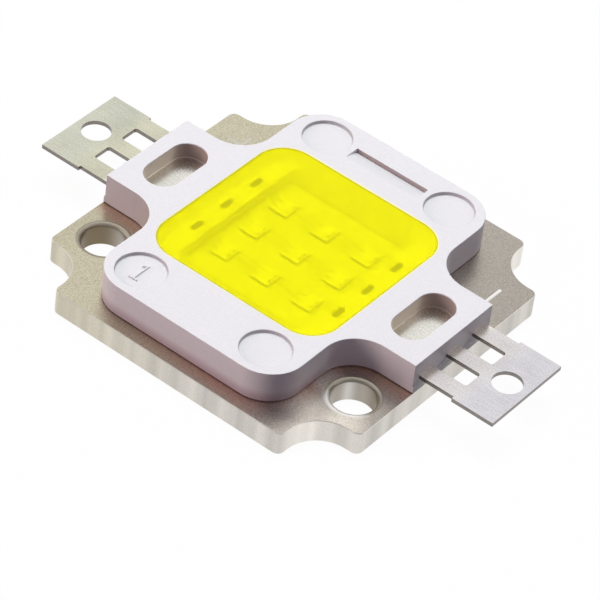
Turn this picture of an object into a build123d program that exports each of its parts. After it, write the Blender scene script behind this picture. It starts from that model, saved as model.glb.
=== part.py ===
from build123d import *
import os

# High-power LED chip: nine dies under yellow silicone on a metal slug, held in a white moulding.
# Millimetres. The origin is the middle of the slug's underside, +Z is the way the light leaves,
# +X runs from the positive tab to the negative tab, and the two screw holes are on the -Y side.

# Metal slug
slug_side = 20.0
slug_thickness = 1.35
scoop_side = 2.7
scoop_radius = 2.0
slug_tip_radius = 0.4
slug_edge_break = 0.07
screw_hole_diameter = 2.3
screw_hole_from_side = 1.95
screw_hole_from_end = 4.7
screw_hole_rim_width = 0.32
screw_hole_rim_depth = 0.22

# White moulding
moulding_height = 1.83
moulding_edge_break = 0.05
lobe_width = 12.0
lobe_end_setback = 0.85
lobe_corner_radius = 2.05
ear_width = 6.3
ear_root_radius = 2.0
ear_foot_height = 0.42
ear_foot_step = 0.08
lead_window_width = 2.0
lead_window_length = 4.0
lead_window_from_end = 2.0
ejector_diameter = 2.65
ejector_depth = 0.2
ejector_from_side = 2.03
ejector_from_end = 1.78
gate_length = 4.6
gate_width = 0.97
gate_depth = 0.28
gate_from_end = 1.38

# Cavity in the moulding, from its mouth down to the slug
mouth_wall = 0.45
mouth_corner_radius = 1.8
shelf_mouth_inset = 0.45
shelf_mouth_radius = 1.2
shelf_cover = 0.08
shelf_width = 1.2
well_corner_radius = 0.6
well_draft = 0.1
floor_end_inset = 1.35
bond_window_length = 0.9
bond_window_width = 0.36
bond_window_from_well = 0.65

# Stamped leads
lead_span = 29.0
lead_thickness = 0.25
lead_level = 0.65
tab_length = 2.5
tab_width = 5.68
legs_width = 5.36
middle_leg_width = 0.96
outer_leg_width = 1.03
leg_anchor_depth = 0.5
ear_plate_cover = 0.225
cross_bar_width = 0.7
cross_bar_cover = 0.15
finger_width = 1.15
finger_tip_cover = 0.3
wire_hole_diameter = 1.6
wire_hole_from_tip = 1.21

# Dies and bond wires
die_side = 1.14
die_thickness = 0.15
dies_per_row = 3
rows = 3
die_side_margin = 0.57
die_end_margin = 1.28
wire_diameter = 0.04
wire_facets = 8
wire_pair_spacing = 0.44
wire_rise = 0.3
wire_end_from_edge = 0.18
wire_level_share = 0.55

# Gel
gel_below_rim = 0.03

screw_hole_x = slug_side / 2 - screw_hole_from_side
screw_hole_y = screw_hole_from_end - slug_side / 2
slug_top = slug_thickness
ear_foot_top = slug_top + ear_foot_height
moulding_top = slug_top + moulding_height
lead_bottom = slug_top + lead_level
lead_top = lead_bottom + lead_thickness
shelf_top = lead_top + shelf_cover
die_top = slug_top + die_thickness
lobe_length = slug_side - 2 * lobe_end_setback
lead_window_x = slug_side / 2 - lead_window_from_end
mouth_side = lobe_width - 2 * mouth_wall
shelf_mouth_width = mouth_side - 2 * shelf_mouth_inset
well_width = shelf_mouth_width - 2 * shelf_width
floor_length = mouth_side - 2 * floor_end_inset
floor_width = well_width - 2 * well_draft
bond_window_x = well_width / 2 + bond_window_from_well
tab_inner_x = lead_span / 2 - tab_length
leg_root_x = slug_side / 2 - leg_anchor_depth
wire_hole_x = lead_span / 2 - wire_hole_from_tip
finger_tip_x = well_width / 2 + finger_tip_cover
cross_bar_x = lobe_width / 2 - cross_bar_cover
die_pitch_x = (floor_width - 2 * die_side_margin - die_side) / (dies_per_row - 1)
die_pitch_y = (floor_length - 2 * die_end_margin - die_side) / (rows - 1)
comb_width = (rows - 1) * die_pitch_y + finger_width
row_positions = [(row - (rows - 1) / 2) * die_pitch_y for row in range(rows)]
die_positions = [(place - (dies_per_row - 1) / 2) * die_pitch_x for place in range(dies_per_row)]


def block(x_from, x_to, width_y, z_from, z_to, middle_y=0.0):
    """A box between two places along X and Z, with a width across Y."""
    box = Box(x_to - x_from, width_y, z_to - z_from, align=(Align.MIN, Align.CENTER, Align.MIN))
    return Pos(x_from, middle_y, z_from) * box


def prism(outline, z_from, z_to):
    """An outline in the XY plane raised between two levels."""
    return extrude(Pos(0, 0, z_from) * outline, z_to - z_from)


def mirrored(shape):
    """A shape together with its mirror image across the YZ plane."""
    return shape + shape.mirror(Plane.YZ)


def break_top_edges(body, size):
    """Takes the sharpness off every edge of a body's highest face."""
    top = body.faces().sort_by(Axis.Z)[-1]
    return chamfer(top.edges(), size)


def make_slug():
    """Square plate with a scooped notch in each corner and two rimmed screw holes."""
    half = slug_side / 2
    notch = Rectangle(2 * scoop_side, 2 * scoop_side)
    notch = fillet(notch.vertices(), scoop_radius)
    corners = [(x, y) for x in (-half, half) for y in (-half, half)]
    outline = Rectangle(slug_side, slug_side) - Locations(*corners) * notch
    tips = [v for v in outline.vertices() if abs(abs(v.X) - half) < 1e-6]
    outline = fillet(tips, slug_tip_radius)
    plate = break_top_edges(prism(outline, 0, slug_thickness), slug_edge_break)
    for x in (-screw_hole_x, screw_hole_x):
        plate -= Pos(x, screw_hole_y, 0) * screw_hole_cutter()
    return plate


def screw_hole_cutter():
    """The hole with a rounded rim on the plate's upper side."""
    radius = screw_hole_diameter / 2
    rim_level = slug_thickness - screw_hole_rim_depth
    rim_radius = radius + screw_hole_rim_width
    profile = make_face(
        Line((0, 0), (radius, 0))
        + Line((radius, 0), (radius, rim_level))
        + TangentArc((rim_radius, slug_thickness), (radius, rim_level), tangent=(-1, 0))
        + Line((rim_radius, slug_thickness), (0, slug_thickness))
        + Line((0, slug_thickness), (0, 0))
    )
    return revolve(Plane.XZ * profile, Axis.Z)


def moulding_outline(ear_span):
    """Two rounded lobes joined by a pair of ears, as long as the ear span from end to end."""
    lobes = Rectangle(lobe_width, lobe_length)
    outer = [v for v in lobes.vertices()]
    lobes = fillet(outer, lobe_corner_radius)
    outline = lobes + Rectangle(ear_span, ear_width)
    roots = [v for v in outline.vertices() if is_ear_root(v)]
    return fillet(roots, ear_root_radius)


def is_ear_root(vertex):
    """True at the four inner corners between a lobe and an ear."""
    on_lobe_side = abs(abs(vertex.X) - lobe_width / 2) < 1e-6
    on_ear_side = abs(abs(vertex.Y) - ear_width / 2) < 1e-6
    return on_lobe_side and on_ear_side


def make_moulding(leads):
    """White frame on a foot flush with the slug's sides, with its hollows and the leads cut out."""
    foot = prism(moulding_outline(slug_side), slug_top, ear_foot_top)
    upper = prism(moulding_outline(slug_side - 2 * ear_foot_step), ear_foot_top, moulding_top)
    body = foot + break_top_edges(upper, moulding_edge_break)
    body -= make_cavity()
    body -= mirrored(lead_window_cutter())
    body -= ejector_cutters()
    body -= gate_cutter()
    for lead in leads:
        body -= lead
    return body


def lead_window_cutter():
    """The obround window over one lead, down to the bare metal."""
    window = SlotOverall(lead_window_length, lead_window_width, rotation=90)
    return Pos(lead_window_x, 0, 0) * prism(window, lead_top, moulding_top + 1)


def ejector_cutters():
    """The four shallow round recesses near the lobes' corners."""
    x = lobe_width / 2 - ejector_from_side
    y = lobe_length / 2 - ejector_from_end
    discs = Sketch() + Locations((x, y), (-x, y), (x, -y), (-x, -y)) * Circle(ejector_diameter / 2)
    return prism(discs, moulding_top - ejector_depth, moulding_top + 1)


def gate_cutter():
    """The gate recess: deepest along its +Y side, running out to the surface towards the cavity."""
    far_y = lobe_length / 2 - gate_from_end
    near_y = far_y - gate_width
    wedge = make_face(
        Polyline(
            (near_y, moulding_top),
            (far_y, moulding_top - gate_depth),
            (far_y, moulding_top),
            close=True,
        )
    )
    return extrude(Plane.YZ * wedge, gate_length / 2, both=True)


def cavity_section(width, length, radius, level):
    """One rounded rectangle of the cavity at a level."""
    return Pos(0, 0, level) * RectangleRounded(width, length, radius)


def make_cavity():
    """The bowl above the shelves, the well between them, and the bond windows in the shelves."""
    slope = (mouth_side - floor_length) / moulding_height
    shelf_length = floor_length + slope * (shelf_top - slug_top)
    bowl = loft(
        [
            cavity_section(mouth_side, mouth_side, mouth_corner_radius, moulding_top),
            cavity_section(shelf_mouth_width, shelf_length, shelf_mouth_radius, shelf_top),
        ]
    )
    well = loft(
        [
            cavity_section(well_width, shelf_length, well_corner_radius, shelf_top),
            cavity_section(floor_width, floor_length, well_corner_radius, slug_top),
        ]
    )
    window = SlotOverall(bond_window_length, bond_window_width, rotation=90)
    windows = Sketch() + [Pos(bond_window_x, y) * window for y in row_positions]
    return bowl + well + mirrored(prism(windows, lead_top, shelf_top))


def make_lead():
    """The lead on the +X side: tab with wire hole, legs, plate in the ear, cross bar and fingers."""
    bar_inner_x = cross_bar_x - cross_bar_width
    ear_plate_width = ear_width - 2 * ear_plate_cover
    lead = block(tab_inner_x, lead_span / 2, tab_width, lead_bottom, lead_top)
    lead += block(leg_root_x, tab_inner_x, legs_width, lead_bottom, lead_top)
    lead += block(bar_inner_x, leg_root_x, ear_plate_width, lead_bottom, lead_top)
    lead += block(bar_inner_x, cross_bar_x, comb_width, lead_bottom, lead_top)
    for y in row_positions:
        lead += block(finger_tip_x, bar_inner_x, finger_width, lead_bottom, lead_top, y)
    for side in (-1, 1):
        lead -= leg_window_cutter(side)
    return lead - Pos(wire_hole_x, 0, lead_bottom) * Cylinder(
        wire_hole_diameter / 2, lead_thickness, align=(Align.CENTER, Align.CENTER, Align.MIN)
    )


def leg_window_cutter(side):
    """The window between the middle leg and the outer leg on one side."""
    inner = middle_leg_width / 2
    outer = legs_width / 2 - outer_leg_width
    middle_y = side * (inner + outer) / 2
    return block(leg_root_x, tab_inner_x, outer - inner, lead_bottom, lead_top, middle_y)


def make_die(x, y):
    """One square die, seated on the slug."""
    return Pos(x, y, slug_top) * Box(
        die_side, die_side, die_thickness, align=(Align.CENTER, Align.CENTER, Align.MIN)
    )


def make_wire(ball_x, ball_z, stitch_x, y):
    """A bond wire: straight up from its ball, level, then down to its stitch on a die."""
    over = ball_x + wire_level_share * (stitch_x - ball_x)
    crown = ball_z + wire_rise
    slope = (crown - die_top) / (stitch_x - over)
    below = die_top - wire_diameter
    beyond = stitch_x + (die_top - below) / slope
    path = Polyline((ball_x, y, ball_z), (ball_x, y, crown), (over, y, crown), (beyond, y, below))
    section = Plane((ball_x, y, ball_z)) * RegularPolygon(wire_diameter / 2, wire_facets)
    wire = sweep(section, path=path, transition=Transition.RIGHT)
    return split(wire, Plane.XY.offset(die_top), keep=Keep.TOP)


def row_wires(y):
    """The wires of one row of dies, in order from the positive lead to the negative lead."""
    inset = die_side / 2 - wire_end_from_edge
    spans = [(-bond_window_x, lead_top, die_positions[0] - inset)]
    for left, right in zip(die_positions, die_positions[1:]):
        spans.append((left + inset, die_top, right - inset))
    spans.append((bond_window_x, lead_top, die_positions[-1] + inset))
    wires = []
    for ball_x, ball_z, stitch_x in spans:
        for side in (-1, 1):
            wires.append(make_wire(ball_x, ball_z, stitch_x, y + side * wire_pair_spacing / 2))
    return wires


def make_gel(dies, wires):
    """The cured gel: the cavity less the dies and wires that it buries."""
    gel = make_cavity() - block(
        -slug_side, slug_side, slug_side, moulding_top - gel_below_rim, moulding_top + 1
    )
    for piece in dies + wires:
        gel -= piece
    return gel


def main():
    os.makedirs("parts", exist_ok=True)
    lead_negative = make_lead()
    lead_positive = lead_negative.mirror(Plane.YZ)
    pieces = {
        "base_plate": make_slug(),
        "moulded_frame": make_moulding([lead_negative, lead_positive]),
        "lead_positive": lead_positive,
        "lead_negative": lead_negative,
    }
    dies = {}
    wires = {}
    for row, y in enumerate(row_positions, start=1):
        for place, x in enumerate(die_positions, start=1):
            dies[f"led_die_{row}_{place}"] = make_die(x, y)
        for number, wire in enumerate(row_wires(y), start=1):
            wires[f"bond_wire_{row}_{number}"] = wire
    pieces.update(dies)
    pieces.update(wires)
    pieces["phosphor_gel"] = make_gel(list(dies.values()), list(wires.values()))
    for name, piece in pieces.items():
        export_step(piece, f"parts/{name}.step")


main()
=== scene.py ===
# %% [markdown]
# # High-power LED chip
# One square light emitter, 29 mm from tab tip to tab tip: a metal slug with scooped corners, a white
# moulding on it, two flat leads through the moulding, and a bowl of yellow gel over nine dies.
# The sizes come from the packed frame, so each piece here lies where the real one does.

# %% Load the frame
import math
from contextlib import contextmanager

import bmesh
import bpy
from mathutils import Matrix, Vector


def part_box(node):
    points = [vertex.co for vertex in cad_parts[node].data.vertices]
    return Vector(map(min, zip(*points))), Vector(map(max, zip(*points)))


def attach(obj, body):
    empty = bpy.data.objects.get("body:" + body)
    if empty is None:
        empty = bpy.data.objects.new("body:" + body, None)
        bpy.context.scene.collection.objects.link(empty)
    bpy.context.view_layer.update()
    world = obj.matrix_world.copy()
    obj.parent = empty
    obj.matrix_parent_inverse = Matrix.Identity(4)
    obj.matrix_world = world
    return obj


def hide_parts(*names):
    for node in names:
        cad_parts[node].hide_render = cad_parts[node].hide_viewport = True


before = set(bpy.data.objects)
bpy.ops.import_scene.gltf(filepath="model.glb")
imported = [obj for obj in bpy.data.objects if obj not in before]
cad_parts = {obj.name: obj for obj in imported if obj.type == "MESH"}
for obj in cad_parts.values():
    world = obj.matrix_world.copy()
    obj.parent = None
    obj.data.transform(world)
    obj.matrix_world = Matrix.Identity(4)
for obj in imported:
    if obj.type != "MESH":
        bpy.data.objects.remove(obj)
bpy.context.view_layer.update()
MM = 0.001
print("solids in the frame:", len(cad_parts))

# %% [markdown]
# ## The camera
# The picture looks down at the chip from the front right, a third of the way round, with a long lens and
# the camera rolled a little. The roll turns the camera's own right and up about its line of sight, so the
# three axes are worked out first and become the columns of its rotation.

# %% Camera
VIEW_AZIMUTH = math.radians(33.6)
VIEW_ELEVATION = math.radians(41.56)
VIEW_ROLL = math.radians(7.96)
VIEW_DISTANCE = 187.74 * MM
FOCAL_IN_WIDTHS = 6.2028
SENSOR_WIDTH = 36.0
AIM_RIGHT = 0.441 * MM
AIM_UP = -0.690 * MM


def photo_camera():
    """A long-lens camera at the picture's own angle."""
    back = Vector(
        (
            math.sin(VIEW_AZIMUTH) * math.cos(VIEW_ELEVATION),
            -math.cos(VIEW_AZIMUTH) * math.cos(VIEW_ELEVATION),
            math.sin(VIEW_ELEVATION),
        )
    )
    level_right = Vector((0, 0, 1)).cross(back).normalized()
    level_up = back.cross(level_right)
    right = level_right * math.cos(VIEW_ROLL) + level_up * math.sin(VIEW_ROLL)
    up = back.cross(right)
    bpy.ops.object.camera_add()
    camera = bpy.context.object
    camera.name = "camera"
    place = right * AIM_RIGHT + up * AIM_UP + back * VIEW_DISTANCE
    axes = Matrix((right, up, back)).transposed().to_4x4()
    camera.matrix_world = Matrix.Translation(place) @ axes
    camera.data.sensor_width = SENSOR_WIDTH
    camera.data.lens = FOCAL_IN_WIDTHS * SENSOR_WIDTH
    camera.data.clip_start = 0.01
    camera.data.clip_end = 10.0
    bpy.context.scene.camera = camera
    return camera


camera = photo_camera()
print("camera at", [round(value, 4) for value in camera.location])

# %% [markdown]
# ## Sizes from the frame
# The chip is only 20 mm wide, and several edit-mode tools have thresholds made for things the size of a
# chair. So each piece is modelled with one Blender unit for a millimetre and is scaled down as its last
# step. The levels and outer sizes are read from the CAD solids in millimetres.

# %% Sizes, in millimetres


def box_in_mm(node):
    """The lowest and the highest corner of a CAD node, in millimetres."""
    low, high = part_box(node)
    return [round(v / MM, 3) for v in low], [round(v / MM, 3) for v in high]


plate_low, plate_high = box_in_mm("base_plate")
_, frame_high = box_in_mm("moulded_frame")
lead_low, lead_high = box_in_mm("lead_negative")
die_low, die_high = box_in_mm("led_die_2_2")
_, gel_high = box_in_mm("phosphor_gel")
PLATE_HALF = plate_high[0]
PLATE_TOP = plate_high[2]
FRAME_TOP = frame_high[2]
FRAME_END = frame_high[1]
LEAD_BOTTOM = lead_low[2]
LEAD_TOP = lead_high[2]
LEAD_END = lead_high[0]
DIE_SIDE = die_high[0] - die_low[0]
DIE_TOP = die_high[2]
SHELF_TOP = LEAD_TOP + 0.08
LOBE_HALF = 6.0
EAR_HALF = 3.15
EAR_ROOT_Y = -4.2
ROW_Y = [box_in_mm(f"led_die_{row}_2")[0][1] + DIE_SIDE / 2 for row in (1, 2, 3)]
DIE_X = [box_in_mm(f"led_die_2_{place}")[0][0] + DIE_SIDE / 2 for place in (1, 2, 3)]
print("plate top", PLATE_TOP, "frame top", FRAME_TOP, "lead top", LEAD_TOP, "die top", DIE_TOP)
print("rows of dies at y", [round(y, 3) for y in ROW_Y], "and x", [round(x, 3) for x in DIE_X])

# %% [markdown]
# ## Hands for the edit mode
# Nearly every piece is made as by hand: a primitive at its size and place, then edit mode. These helpers
# take one piece at a time, because an operator acts on all that is selected, and the CAD solids are
# selected after loading. `pick` chooses vertices, edges or faces by a test on their place or direction.

# %% Selecting and editing


def activate(piece):
    """Makes one piece the only selected one, and the active one."""
    bpy.ops.object.select_all(action="DESELECT")
    piece.select_set(True)
    bpy.context.view_layer.objects.active = piece


@contextmanager
def editing(piece):
    """Edit mode on one piece with all of it selected, and object mode again afterwards."""
    activate(piece)
    bpy.ops.object.mode_set(mode="EDIT")
    bpy.ops.mesh.select_mode(type="VERT")
    bpy.ops.mesh.select_all(action="SELECT")
    yield
    bpy.ops.object.mode_set(mode="OBJECT")


def pick(piece, kind, test):
    """In edit mode, selects the vertices, edges or faces that pass a test, and says how many."""
    bpy.ops.mesh.select_mode(type=kind)
    bpy.ops.mesh.select_all(action="DESELECT")
    shape = bmesh.from_edit_mesh(piece.data)
    parts = {"VERT": shape.verts, "EDGE": shape.edges, "FACE": shape.faces}[kind]
    picked = [part for part in parts if test(part)]
    for part in picked:
        part.select_set(True)
    shape.select_flush_mode()
    bmesh.update_edit_mesh(piece.data)
    return len(picked)


def near(value, target, slack=0.004):
    """True where two lengths are the same to within a few thousandths of a millimetre."""
    return abs(value - target) < slack


def is_upright(edge):
    """True for an edge that stands straight up."""
    first, second = (vertex.co for vertex in edge.verts)
    return near(first.x, second.x) and near(first.y, second.y) and not near(first.z, second.z)


def is_level_at(edge, *levels):
    """True for a level edge at one of the levels."""
    first, second = (vertex.co.z for vertex in edge.verts)
    return near(first, second) and any(near(first, level) for level in levels)


def is_top(face):
    """True for a face that looks straight up."""
    return face.normal.z > 0.9


def is_bottom(face):
    """True for a face that looks straight down."""
    return face.normal.z < -0.9


def pull_up(rise):
    """In edit mode, extrudes what is selected straight up."""
    bpy.ops.mesh.extrude_region_move(TRANSFORM_OT_translate={"value": (0, 0, rise)})


def face_outwards():
    """In edit mode, turns all faces of a closed shape outwards."""
    bpy.ops.mesh.select_all(action="SELECT")
    bpy.ops.mesh.normals_make_consistent(inside=False)


def renamed(piece, name):
    """Names a piece and its mesh."""
    piece.name = name
    piece.data.name = name
    return piece


def fix_place(piece):
    """Puts a piece's place, turn and scale into its mesh."""
    activate(piece)
    bpy.ops.object.transform_apply(location=True, rotation=True, scale=True)


def named(name):
    """Names the new primitive and puts its place into its mesh."""
    fix_place(bpy.context.object)
    return renamed(bpy.context.object, name)


# %% [markdown]
# ## Blocks, rounded prisms and bowls
# A block is a cube between two corners. A rounded prism is a plane whose corners are bevelled before it is
# extruded, so the corner radius is exact. A bowl joins several rounded outlines at their own levels with
# bridged walls, which is how a drafted cavity is drawn in a mould.

# %% Starting shapes
CORNER_STEPS = 12
ROUND_STEPS = 72


def slab(name, low, high):
    """A block between two corners."""
    bpy.ops.object.select_all(action="DESELECT")
    middle = [(a + b) / 2 for a, b in zip(low, high)]
    size = [b - a for a, b in zip(low, high)]
    bpy.ops.mesh.primitive_cube_add(size=1, location=middle, scale=size)
    return named(name)


def rounded_plane(name, width, length, radius, level, middle=(0, 0)):
    """A flat rectangle with rounded corners at one level."""
    bpy.ops.object.select_all(action="DESELECT")
    bpy.ops.mesh.primitive_plane_add(size=1, location=(*middle, level))
    bpy.context.object.scale = (width, length, 1)
    plane = named(name)
    with editing(plane):
        bpy.ops.mesh.bevel(offset=radius, segments=CORNER_STEPS, affect="VERTICES")
        bpy.ops.mesh.remove_doubles(threshold=0.0005)
    return plane


def rounded_prism(name, width, length, radius, bottom, top, middle=(0, 0)):
    """An upright prism with rounded corners between two levels."""
    prism = rounded_plane(name, width, length, radius, bottom, middle)
    with editing(prism):
        pull_up(top - bottom)
        face_outwards()
    return prism


def joined(first, *others):
    """Joins pieces into the first one, as separate shells."""
    activate(first)
    for other in others:
        other.select_set(True)
    bpy.ops.object.join()
    return first


def bowl(name, sections):
    """A closed shape through rounded outlines, each given as width, length, radius and level."""
    shape = joined(*[rounded_plane(name, *section) for section in sections])
    levels = [section[3] for section in sections]
    with editing(shape):
        bpy.ops.mesh.delete(type="ONLY_FACE")
        for lower, upper in zip(levels, levels[1:]):
            pick(shape, "EDGE", lambda edge: is_level_at(edge, lower, upper))
            bpy.ops.mesh.bridge_edge_loops()
        for level in (levels[0], levels[-1]):
            pick(shape, "EDGE", lambda edge: is_level_at(edge, level))
            bpy.ops.mesh.edge_face_add()
        face_outwards()
    return shape


def disc(name, radius, bottom, top, middle, steps=ROUND_STEPS):
    """An upright round plug between two levels."""
    bpy.ops.object.select_all(action="DESELECT")
    bpy.ops.mesh.primitive_cylinder_add(
        vertices=steps,
        radius=radius,
        depth=top - bottom,
        location=(*middle, (bottom + top) / 2),
    )
    return named(name)


# %% [markdown]
# ## Joining, carving and softening
# Hollows are carved with a boolean modifier, the way a cutter sinks them into the mould's steel. A sharp
# edge never catches light on a real part, so a bevel modifier rounds every edge that turns by more than a
# limit, and weighted normals keep the flat faces flat up to that narrow rounding. `settle` is the last
# step: it scales the mesh to metres and says what the piece rides on and which CAD solids it replaces.

# %% Modifiers and settling


def modify(piece, kind, **settings):
    """Adds a modifier to a piece, makes its settings and applies it."""
    activate(piece)
    bpy.ops.object.modifier_add(type=kind)
    modifier = piece.modifiers[-1]
    for setting, value in settings.items():
        setattr(modifier, setting, value)
    bpy.ops.object.modifier_apply(modifier=modifier.name)


def carve(body, cutter, operation="DIFFERENCE"):
    """Takes a cutter out of a body, or joins it on, and removes the cutter."""
    modify(body, "BOOLEAN", operation=operation, solver="EXACT", object=cutter)
    bpy.data.objects.remove(cutter, do_unlink=True)


def soften(piece, width, steps=2, limit=35):
    """Rounds every edge that turns by more than the limit in degrees."""
    turn = {"limit_method": "ANGLE", "angle_limit": math.radians(limit)}
    corners = {"use_clamp_overlap": False, "miter_outer": "MITER_ARC"}
    modify(piece, "BEVEL", width=width, segments=steps, **turn, **corners)


def smooth(piece, limit=40):
    """Smooth shading up to an angle, with normals that follow the large faces."""
    activate(piece)
    bpy.ops.object.shade_smooth_by_angle(angle=math.radians(limit), keep_sharp_edges=False)
    modify(piece, "WEIGHTED_NORMAL", keep_sharp=True)


def settle(piece, slot, *nodes):
    """Brings a piece to its real size, rides it on the chip and hides the CAD solids that it stands for."""
    fix_place(piece)
    piece.scale = (MM, MM, MM)
    fix_place(piece)
    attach(piece, "root")
    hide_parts(*nodes)
    print(piece.name, "has", len(piece.data.polygons), "faces")


def copied(piece, name):
    """A copy with its own mesh."""
    activate(piece)
    bpy.ops.object.duplicate(linked=False)
    return renamed(bpy.context.object, name)


# %% [markdown]
# ## Writing a finish
# Every finish is a Principled shader fed by noise on Object coordinates, so nothing slides or stretches.
# `Signal` wraps a node's output and turns a written sum into Math nodes, which keeps a finish readable.
# `Network.node` adds any other node: its settings are made first, and then its inputs are filled.

# %% Signals and finishes


def written_as(operation, swapped=False):
    """A method that turns a written sum into a Math node, with the two values swapped if need be."""

    def method(first, second=0.0):
        values = (second, first) if swapped else (first, second)
        return first.network.node("Math", {"operation": operation}, dict(enumerate(values)))

    return method


class Signal:
    """The output of a node. Sums written with it become Math nodes."""

    def __init__(self, network, output):
        self.network = network
        self.output = output

    __add__ = written_as("ADD")
    __radd__ = written_as("ADD", swapped=True)
    __sub__ = written_as("SUBTRACT")
    __rsub__ = written_as("SUBTRACT", swapped=True)
    __mul__ = written_as("MULTIPLY")
    __abs__ = written_as("ABSOLUTE")
    at_least = written_as("MAXIMUM")


class Network:
    """The nodes of one material or world, and the ways to add more."""

    def __init__(self, tree):
        self.tree = tree

    def node(self, kind, settings=None, inputs=None, output=0):
        """Adds a node, makes its settings, and then fills or links its inputs."""
        new = self.tree.nodes.new("ShaderNode" + kind)
        for setting, value in (settings or {}).items():
            setattr(new, setting, value)
        for socket, value in (inputs or {}).items():
            self.feed(new.inputs[socket], value)
        return Signal(self, new.outputs[output])

    def feed(self, socket, value):
        """Links a signal to a socket, or sets the socket's own value."""
        if isinstance(value, Signal):
            self.tree.links.new(value.output, socket)
        elif socket.type == "RGBA":
            socket.default_value = (*value, 1)
        else:
            socket.default_value = value

    def blend(self, share, first, second, how="MIX"):
        """A colour between two colours, or with MULTIPLY between a colour and its tinted self."""
        settings = {"data_type": "RGBA", "blend_type": how}
        return self.node("Mix", settings, {0: share, 6: first, 7: second}, output=2)

    def step(self, value, low, high):
        """0 below the low value, 1 above the high one, smooth between."""
        inputs = {"Value": value, "From Min": low, "From Max": high}
        return self.node("MapRange", {"interpolation_type": "SMOOTHSTEP"}, inputs)

    def fall(self, value, low, high):
        """1 below the low value, 0 above the high one, smooth between."""
        return 1 - self.step(value, low, high)

    def ramp(self, value, low, high, first, last):
        """A number that goes straight from first to last while the value goes from low to high."""
        inputs = {"Value": value, "From Min": low, "From Max": high, "To Min": first, "To Max": last}
        return self.node("MapRange", {"clamp": True}, inputs)

    def times(self, colour, share):
        """A colour made lighter or darker."""
        return self.node("VectorMath", {"operation": "SCALE"}, {0: colour, "Scale": share})

    def inside(self, value, reach, edge):
        """1 within a reach of the middle, 0 outside it."""
        return self.fall(abs(value), reach, reach + edge)

    def length(self, across, along):
        """The length of a level line, from its two parts."""
        line = self.node("CombineXYZ", inputs={0: across, 1: along})
        return self.node("VectorMath", {"operation": "LENGTH"}, {0: line}, output="Value")


class Finish(Network):
    """One material: its Principled shader and its Object coordinates x, y and z in millimetres."""

    def __init__(self, name, constants):
        self.material = bpy.data.materials.new(name)
        self.material.use_nodes = True
        super().__init__(self.material.node_tree)
        self.shader = self.tree.nodes["Principled BSDF"]
        self.place = self.node("TexCoord", output="Object")
        split = self.node("SeparateXYZ", inputs={0: self.place}).output.node
        self.x, self.y, self.z = (Signal(self, output) * (1 / MM) for output in split.outputs)
        self.set(constants)

    def set(self, values):
        """Fills sockets of the Principled shader by their names."""
        for socket, value in values.items():
            self.feed(self.shader.inputs[socket], value)

    def noise(self, grain, detail=2.0, roughness=0.5, squeeze=(1, 1, 1)):
        """Noise from 0 to 1 with grains of a size in millimetres, squeezed along some directions."""
        stretched = self.node("Mapping", {"vector_type": "POINT"}, {"Vector": self.place, "Scale": squeeze})
        inputs = {"Vector": stretched, "Scale": 1 / (grain * MM), "Detail": detail, "Roughness": roughness}
        return self.node("TexNoise", {"noise_dimensions": "3D"}, inputs)

    def levelness(self):
        """How level a face is: 1 for the top, 0 for an upright wall."""
        facing = self.node("NewGeometry", output="Normal")
        return abs(self.node("SeparateXYZ", inputs={0: facing}, output=2))

    def flatness(self):
        """1 on level faces, 0 on upright ones."""
        return self.step(self.levelness(), 0.55, 0.95)

    def edge_break(self):
        """1 on the narrow slopes between level and upright faces, 0 on both."""
        slope = self.levelness()
        return self.step(slope, 0.2, 0.45) * self.fall(slope, 0.85, 0.97)

    def relief(self, height, depth):
        """Bumps the normal by a height from 0 to 1 that stands for a depth in millimetres."""
        self.set({"Normal": self.node("Bump", inputs={"Distance": depth * MM, "Height": height})})

    def coat(self, *pieces):
        """Puts the material on pieces."""
        for piece in pieces:
            piece.data.materials.clear()
            piece.data.materials.append(self.material)
        print(self.material.name, "has", len(self.tree.nodes), "nodes and coats", len(pieces), "pieces")


print("ways to add nodes:", [name for name in vars(Network) if "_" not in name])

# %% [markdown]
# ## The base plate
# The slug is stamped from copper sheet and nickel plated, with a scooped notch in each corner and two
# screw holes on one side. A cube is the blank. Four rounded prisms carve the notches, and a bevel rounds
# the tips that they leave. Each hole is carved by one bowl whose rings follow the arc of the pressed rim.
# The plus and minus signs are struck with a chisel-like punch, so their cutters narrow downwards.

# %% Base plate
SCOOP_SIDE = 2.7
SCOOP_RADIUS = 2.0
TIP_RADIUS = 0.4
PLATE_EDGE_BREAK = 0.05
HOLE_RADIUS = 1.16
HOLE_RIM_WIDTH = 0.24
HOLE_RIM_DEPTH = 0.18
HOLE_X = 8.05
HOLE_Y = -5.3
SIGN_DEPTH = 0.05
SIGN_SLOPE = 0.16
SIGN_WIDTH = 0.2
SIGN_X = 8.0
SIGN_Y = 5.43
PLUS_MIDDLE = (-7.95, SIGN_Y)
MINUS_MIDDLE = (8.48, SIGN_Y)
SIGN_STROKES = (
    (PLUS_MIDDLE, 1.9, SIGN_WIDTH),
    (PLUS_MIDDLE, SIGN_WIDTH, 1.65),
    (MINUS_MIDDLE, SIGN_WIDTH, 1.45),
)


def is_tip_edge(edge):
    """True for the two upright edges that a notch leaves at a corner of the plate."""
    reach = sorted(abs(value) for value in edge.verts[0].co.xy)
    return is_upright(edge) and near(reach[0], PLATE_HALF - SCOOP_SIDE) and near(reach[1], PLATE_HALF)


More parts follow.
